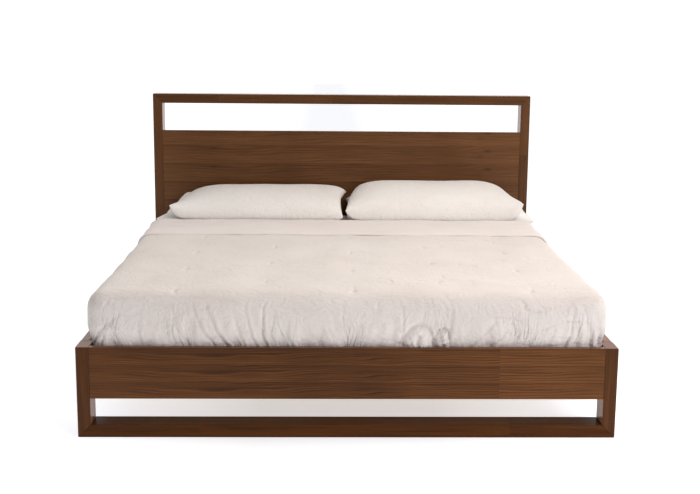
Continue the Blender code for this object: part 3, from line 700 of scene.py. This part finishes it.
def make_tacks(cover, surface):
    """The tufts' bar tacks: short satin-stitched bars lying in the dimples, each a bent thread bar of
    round section."""
    bars, quads = [], []
    ring, length = 6, 5
    for u, v in tuft_places():
        hit, place, normal, _ = cover.ray_cast(*aim(u, v))
        if not hit:
            continue
        place, normal = np.array(place), np.array(normal)
        side = np.cross(normal, (1.0, 0.0, 0.0))
        side /= np.linalg.norm(side)
        t, turn = np.meshgrid(np.linspace(-1, 1, length), np.arange(ring) * 2 * math.pi / ring, indexing="ij")
        thick = TACK_RADIUS * (1 - t ** 4) ** 0.5 + 0.0001
        line = place + side * (t * TACK_HALF)[..., None] + normal * (TACK_RISE * (1 - t ** 2))[..., None]
        across = np.cross(side, normal)
        bar = line + across * (thick * np.cos(turn))[..., None] + normal * (thick * np.sin(turn))[..., None]
        index = np.arange(length * ring).reshape(length, ring) + len(bars) * length * ring
        after = np.roll(index, -1, axis=1)
        quads.append(np.stack([index[:-1], after[:-1], after[1:], index[1:]], -1).reshape(-1, 4))
        bars.append(bar.reshape(-1, 3))
    bars = np.concatenate(bars)
    mesh_piece("tuft_tacks", bars, np.concatenate(quads), bars[:, :2], surface, "mattress",
               "comforter_cotton")


def aim(u, v):
    """A ray onto the comforter at a tuft's flat place: straight down on its top, or level onto its
    front where the place lies past the foot's edge."""
    over = COVER_LOW[1] + COVER_RADIUS * 0.4 - v
    if over > 0:
        return (u, COVER_LOW[1] - 0.5, COVER_HIGH[2] - over), (0, 1, 0)
    return (u, v, COVER_HIGH[2] + 0.5), (0, 0, -1)


# ---- top sheet, fitted sheet and mattress ----

SHEET_STEP = 0.010
FOLD_HANG = 0.8                 # share of the fold's height that its sides hang down
FOLD_WALL, FITTED_WALL = 0.005, 0.0012
MATTRESS_STEP = 0.014
MATTRESS_RADIUS = 0.033
QUILT_PITCH = 0.120             # between the mattress' stitched lines, which cross in diamonds


def make_top_sheet(surface):
    """The top sheet's end, turned down over the comforter: across the bed it runs level, bends down a
    quarter circle over each shoulder and hangs straight; its free edges wave slightly, its lower edge is
    a soft fold and its other edge closes down at the pillows."""
    wide = 2 * FOLD_HIGH[0] + 2 * (FOLD_HIGH[2] - FOLD_LOW[2]) * FOLD_HANG
    long = FOLD_HIGH[1] - FOLD_LOW[1]
    u, v = np.meshgrid(np.linspace(-wide / 2, wide / 2, int(wide / SHEET_STEP)),
                       np.linspace(0, long, int(long / SHEET_STEP)), indexing="ij")
    half, top, radius = COVER_HIGH[0] + 0.001, FOLD_HIGH[2] + 0.0035, COVER_RADIUS
    flat_half = half - radius
    over = np.abs(u) - flat_half
    angle = np.clip(over / radius, 0, math.pi / 2)
    below = np.maximum(over - radius * math.pi / 2, 0)
    x = np.sign(u) * (np.minimum(np.abs(u), flat_half) + radius * np.sin(angle))
    z = top - radius * (1 - np.cos(angle)) - below
    edge = 0.006 * ripple(u, 0 * u, 0.45, 21, 6)
    y = FOLD_LOW[1] + v + edge * (1 - v / long) ** 2
    lift = 0.0010 * ripple(u, v, 0.16, 22) + 0.0006 * ripple(u, 0 * u, 0.11, 23) * np.exp(-v / 0.03)
    lift -= 0.0062 * np.exp(-(v / 0.008) ** 2)
    flap = np.exp(-((np.abs(u) - 0.985) / 0.030) ** 2) * rise(v, long - 0.09, long - 0.01)
    lift += 0.010 * flap - 0.009 * rise(v, long - END_LENGTH, long)
    nx, nz = np.sign(u) * np.sin(angle), np.cos(angle)
    points = np.stack([x + nx * lift, y, z + nz * lift], -1).reshape(-1, 3)
    flat = np.stack([u, v], -1).reshape(-1, 2)
    obj = mesh_piece("top_sheet_fold", points, grid_quads(*u.shape)[1], flat, surface, "mattress",
                     "sheeting", "top_sheet")
    thicken(obj, FOLD_WALL)


def make_fitted_sheet(surface):
    """A fitted sheet stretched over the mattress, with shallow waves and a gathered hem."""
    low, high = SHEET_LOW, SHEET_HIGH
    points, quads, flat = box_skin(low, high, MATTRESS_STEP, ["top", "foot", "head", "left", "right"])
    shaped = rounded(points, low - np.array([0, 0, 0.2]), high, 0.035)
    x, y, z = shaped.T
    hem = 1 - rise(z, low[2], low[2] + 0.045)
    depth = 0.0012 * ripple(x + z, y - z, 0.12, 31) * (1 - hem)
    depth -= 0.0040 * hem * np.abs(np.sin(math.pi * (x + y) / 0.056))
    middle = np.array([0, (low[1] + high[1]) / 2, low[2]])
    out = shaped - middle
    out /= np.linalg.norm(out, axis=1, keepdims=True)
    shaped += out * np.minimum(depth, 0.0004)[:, None]
    obj = mesh_piece("fitted_sheet_cover", shaped, quads, flat, surface, "mattress", "sheeting",
                     "fitted_sheet")
    thicken(obj, FITTED_WALL)


def make_mattress(surface):
    """The mattress: a rounded block, sunk a little all over except for the tape edge that stands round
    its top and bottom, with valleys along crossing rows of stitches."""
    low, high, radius = MATTRESS_LOW, MATTRESS_HIGH, MATTRESS_RADIUS
    points, quads, flat = box_skin(low, high, MATTRESS_STEP, list(FACES))
    shaped = rounded(points, low, high, radius)
    x, y, z = shaped.T
    tape = np.exp(-((z - low[2] - radius) / 0.009) ** 2) + np.exp(-((high[2] - radius - z) / 0.009) ** 2)
    stitched = sum(np.exp(-(np.sin(math.pi * line / QUILT_PITCH) / 0.22) ** 2)
                   for line in (x + y + z, x - y - z))
    core = np.clip(points, low + radius, high - radius)
    shaped -= (shaped - core) / radius * ((0.0022 + 0.0035 * stitched) * (1 - tape).clip(0))[:, None]
    obj = mesh_piece("mattress_core", shaped, quads, flat, surface, "mattress", "ticking", "mattress")


# ---- pillows ----

PILLOW_STEPS = 96
PILLOW_FLOOR = SHEET_HIGH[2] + 0.003
LOWER_HALF, UPPER_HALF = 0.043, 0.060           # half thickness when fully plump
SEAM_HALF = 0.0030
UPPER_SEAM, LOWER_SEAM = 0.040, 0.022           # height of the front seam over the fitted sheet
ENDS_IN, EDGES_IN = 0.028, 0.03                 # how far the sides pull in between the corners
CASE_SLACK = 0.020                              # extra cloth in the case, as a share of its size
CASE_PRESSURE, CASE_STEPS, CASE_MOVES = 0.5, 16, 0.008

# For each pillow: its ends from left to right, how plump it is, how far it climbs to its back edge, and
# for its left and right ends: how bluntly each closes, how far its front corner stands up, how far the
# end droops, and how far its back corner juts out; then its noise's seed.
PILLOWS = {
    "lower_left": ((-0.966, -0.012), 1.0, 0.060,
                   (5, 8), (0.0, 0.0), (0.080, 0.0), (-0.010, 0.0), 71),
    "upper_left": ((-0.893, 0.002), 0.80, 0.084,
                   (4, 14), (0.058, 0.0), (0.062, 0.0), (-0.060, 0.022), 72),
    "lower_right": ((0.024, 1.004), 1.0, 0.060,
                    (8, 10), (0.018, -0.002), (0.0, 0.046), (0.0, -0.010), 73),
    "upper_right": ((0.016, 0.938), 1.04, 0.098,
                    (4.5, 5.5), (0.034, 0.074), (0.030, 0.045), (-0.058, -0.050), 74),
}


def end_blend(u, ends):
    """A value that goes from the left end's to the right end's across the pillow's middle."""
    return ends[0] + (ends[1] - ends[0]) * rise(u, -0.3, 0.3)


def crown(u, v, blunt):
    """Share of the full half thickness: ((1 - |u|^blunt) (1 - v^6))^0.5."""
    return ((1 - np.abs(u) ** end_blend(u, blunt)) * (1 - v ** 6)).clip(0) ** 0.5


def lower_top(u, v):
    """Height of a lower pillow's top skin."""
    return PILLOW_FLOOR + 0.052 + 0.030 * v + LOWER_HALF * crown(u, v, (5, 5)) + SEAM_HALF


def make_pillow(word, surface):
    """A stuffed pillow in its case: two skins over a grid of (u, v), each -1 to 1, joined along a seam.
    The seam climbs towards the headboard; with |u|^5 it stands up at the front corners and droops
    behind them, and the sides pull in between the corners. The skins lie above and below it by the
    half thickness times crown(u, v). An upper pillow's underside rests on the lower pillow."""
    ends, plump, climb, blunt, ears, droops, juts, seed = PILLOWS[word]
    upper = word.startswith("upper")
    low, high = corners("pillow_" + word)
    middle_x, middle_y = (ends[0] + ends[1]) / 2, (low[1] + high[1]) / 2
    line = np.linspace(-1, 1, PILLOW_STEPS + 1)
    eased = np.sin(line * math.pi / 2)
    u, v = np.meshgrid(0.6 * line + 0.4 * eased, 0.4 * line + 0.6 * eased, indexing="ij")
    x = middle_x + u * (ends[1] - ends[0]) / 2 * (1 - ENDS_IN * (1 - v ** 2))
    y = middle_y + v * (high[1] - low[1]) / 2 * (1 - EDGES_IN * (1 - u ** 2))
    x += np.sign(u) * end_blend(u, juts) * np.abs(u) ** 8 * ((1 + v) / 2) ** 3
    corner = end_blend(u, ears) * np.abs(u) ** 5 * ((1 - v) / 2) ** 2
    corner -= end_blend(u, droops) * np.abs(u) ** 5 * (1 - ((1 - v) / 2) ** 2)
    half = (UPPER_HALF if upper else LOWER_HALF) * plump * crown(u, v, blunt)
    half *= 1 + 0.035 * ripple(u, v * 0.5, 0.8, seed)
    half += SEAM_HALF
    if upper:
        middle = PILLOW_FLOOR + UPPER_SEAM + climb * (1 - ((1 - v) / 2) ** 2) + corner
    else:
        middle = PILLOW_FLOOR + LOWER_SEAM + climb * (1 + v) / 2 + corner
    top = middle + half
    bottom = middle - half - 0.9 * corner.clip(0) * (1 - np.abs(u) ** 16)
    if upper:
        low, high = corners("pillow_" + word.replace("upper", "lower"))
        over_u, over_v = ((side - (low[axis] + high[axis]) / 2) / (high[axis] - low[axis]) * 2
                          for axis, side in enumerate((x, y)))
        inside = (np.abs(over_u) < 1.02) & (np.abs(over_v) < 1)
        rest = np.where(inside, lower_top(over_u.clip(-1, 1), over_v.clip(-1, 1)) + 0.004, PILLOW_FLOOR)
        bottom = np.maximum(bottom, rest)
    bottom = np.maximum(bottom, PILLOW_FLOOR)
    top = np.maximum(top, bottom + 2 * SEAM_HALF)
    skins, flats = [], []
    for z in (top, bottom):
        over = np.zeros(z.shape)
        over[:, 1:] = np.cumsum(np.hypot(np.diff(y), np.diff(z)), axis=1)
        skins.append(np.stack([x, y, z], -1).reshape(-1, 3))
        flats.append(np.stack([x, over], -1).reshape(-1, 2))
    index, cells = grid_quads(*u.shape)
    rim = np.concatenate([index[0, :-1], index[:-1, -1], index[-1, :0:-1], index[:0:-1, 0]])
    after = np.roll(rim, -1)
    count = u.size
    wall = np.stack([rim, after, after + count, rim + count], 1)
    quads = np.concatenate([cells, cells[:, ::-1] + count, wall])
    points = np.concatenate(skins)
    obj = mesh_piece(f"pillow_{word}_case", points, quads, np.concatenate(flats), surface,
                     "pillow_" + word, "pillowcase_cotton", "pillow_" + word)
    edge = np.zeros(count * 2)
    edge[rim] = 1.0
    edge[rim + count] = 1.0
    if upper:
        edge[count:] = 1.0
    rest = points.copy()
    rest[:, 0] += CASE_SLACK * (points[:, 0] - middle_x)
    rest[:, 1] += CASE_SLACK * (points[:, 1] - middle_y)
    settle(obj, edge, rest, CASE_PRESSURE, CASE_STEPS, CASE_MOVES)


# ---- everything ----

make_camera()
make_studio()

HEAD_TONES = [tone(c) for c in ("402812", "55361d", "624026", "775132")]
FOOT_TONES = [tone(c) for c in ("371d08", "4b2a0e", "5a3515", "734722")]
STAVE_TONES = [tone(c) for c in ("3b1f09", "512d0f", "613917")]

# Sliced walnut veneer, stained and lacquered satin: a warm mid brown with long quiet streaks, the same
# figure repeated strip after strip. Each knot is one small swirl in every strip.
VENEER_HEAD = walnut_veneer(
    "walnut_veneer_head", bottom=corners("headboard_panel")[1][2] - 0.876, pitch=0.100, ring=0.014,
    line=0.10, seam=3.0, tones=HEAD_TONES,
    knots=[(0.755, 0.045, 0.030, 0.010), (0.80, 0.072, 0.022, 0.008),
           (-0.52, 0.055, 0.030, 0.010), (-0.70, 0.080, 0.026, 0.008)])
VENEER_FOOT = walnut_veneer(
    "walnut_veneer_foot", bottom=corners("footboard_panel")[0][2], pitch=0.067, ring=0.0095,
    line=0.16, seam=0.575, tones=FOOT_TONES,
    knots=[(0.12, 0.020, 0.090, 0.018), (-0.45, 0.035, 0.16, 0.012)])

# Solid hardwood stained to walnut: the same brown, straight-grained, in plain staves. The foot's rail
# is nearly matt; its posts and the side rails bloom where the light skims them.
HEAD_WALNUT = {grain: solid_walnut("stained_walnut_head_" + grain, grain, stave, seed, HEAD_TONES[:3])
               for grain, stave, seed in (("X", 0.62, 0.081), ("Z", 0.47, 0.15))}
FOOT_WALNUT = {grain: solid_walnut("stained_walnut_foot_" + grain, grain, stave, seed, STAVE_TONES,
                                   gloss, bloom)
               for grain, stave, seed, gloss, bloom in (("X", 1.185, 0.477, 0.3, 0.0),
                                                        ("Y", 0.80, 0.5, 1.0, 0.6),
                                                        ("Z", 0.47, 0.15, 0.8, 0.5))}

# Bare planed pine: pale and dry beside the dark frame, streaked along each piece.
PINE = {grain: planed_pine("planed_pine_" + grain, grain, seed)
        for grain, seed in (("X", 1), ("Y", 2), ("Z", 3))}

# Powder-coated steel: near black, its fine orange peel breaking up the highlights.
BLACK = clouded("powder_coated_steel", "161617", "1c1c1d", 0.0, (0.42, 0.60), 0.0008)
# Zinc-plated steel: a bright bluish grey, cloudy from one crystal patch to the next.
ZINC = clouded("zinc_plated_steel", "989b9e", "b9bcbe", 1.0, (0.28, 0.45), 0.006)
# Moulded nylon: black with a dull, faintly grained skin.
NYLON = clouded("moulded_nylon", "1b1b1c", "222223", 0.0, (0.45, 0.62), 0.001)

# Washed cotton: warm off-white and matt. The comforter's is crinkled, and creased where it is tucked;
# the pillowcases' is the whitest, the sheets' the smoothest.
COMFORTER_CLOTH = cotton("comforter_cotton", light="dfd7d1", shade="d7cec7", thread=0.0022,
                         crinkle=0.0022, crinkle_size=0.070, tucked=0.0030)
PILLOW_CLOTH = cotton("pillowcase_cotton", light="efebe7", shade="e9e4df", thread=0.0020,
                      crinkle=0.0022, crinkle_size=0.070)
SHEET_CLOTH = cotton("sheet_cotton", light="e6ddd8", shade="e0d6d0", thread=0.0020,
                     crinkle=0.0005, crinkle_size=0.050)
# Mattress ticking: a coarser greyish-white cotton, firm over its filling.
TICKING = cotton("mattress_ticking", light="d8d6d0", shade="cfccc5", thread=0.0030,
                 crinkle=0.0010, crinkle_size=0.030)


# The finish of each CAD piece, by how its name starts; the letter is the way its grain runs.
FINISHES = (("headboard_panel", VENEER_HEAD), ("headboard_post", HEAD_WALNUT["Z"]),
            ("headboard", HEAD_WALNUT["X"]), ("footboard_panel", VENEER_FOOT),
            ("footboard_post", FOOT_WALNUT["Z"]), ("footboard", FOOT_WALNUT["X"]),
            ("side_rail", FOOT_WALNUT["Y"]), ("slat_ledger", PINE["Y"]), ("centre_beam", PINE["Y"]),
            ("slat_", PINE["X"]), ("centre_leg", PINE["Z"]), ("beam_hanger", BLACK),
            ("leveller", NYLON), ("hook_plate", ZINC), ("catch_plate", ZINC))

for node_name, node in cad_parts.items():
    for start, finish in FINISHES:
        if node_name.startswith(start):
            node.data.materials.clear()
            node.data.materials.append(finish)
            break

make_mattress(TICKING)
make_fitted_sheet(SHEET_CLOTH)
cover = make_comforter(COMFORTER_CLOTH)
bpy.context.view_layer.update()
make_tacks(cover, COMFORTER_CLOTH)
make_top_sheet(SHEET_CLOTH)
for word in PILLOWS:
    make_pillow(word, PILLOW_CLOTH)
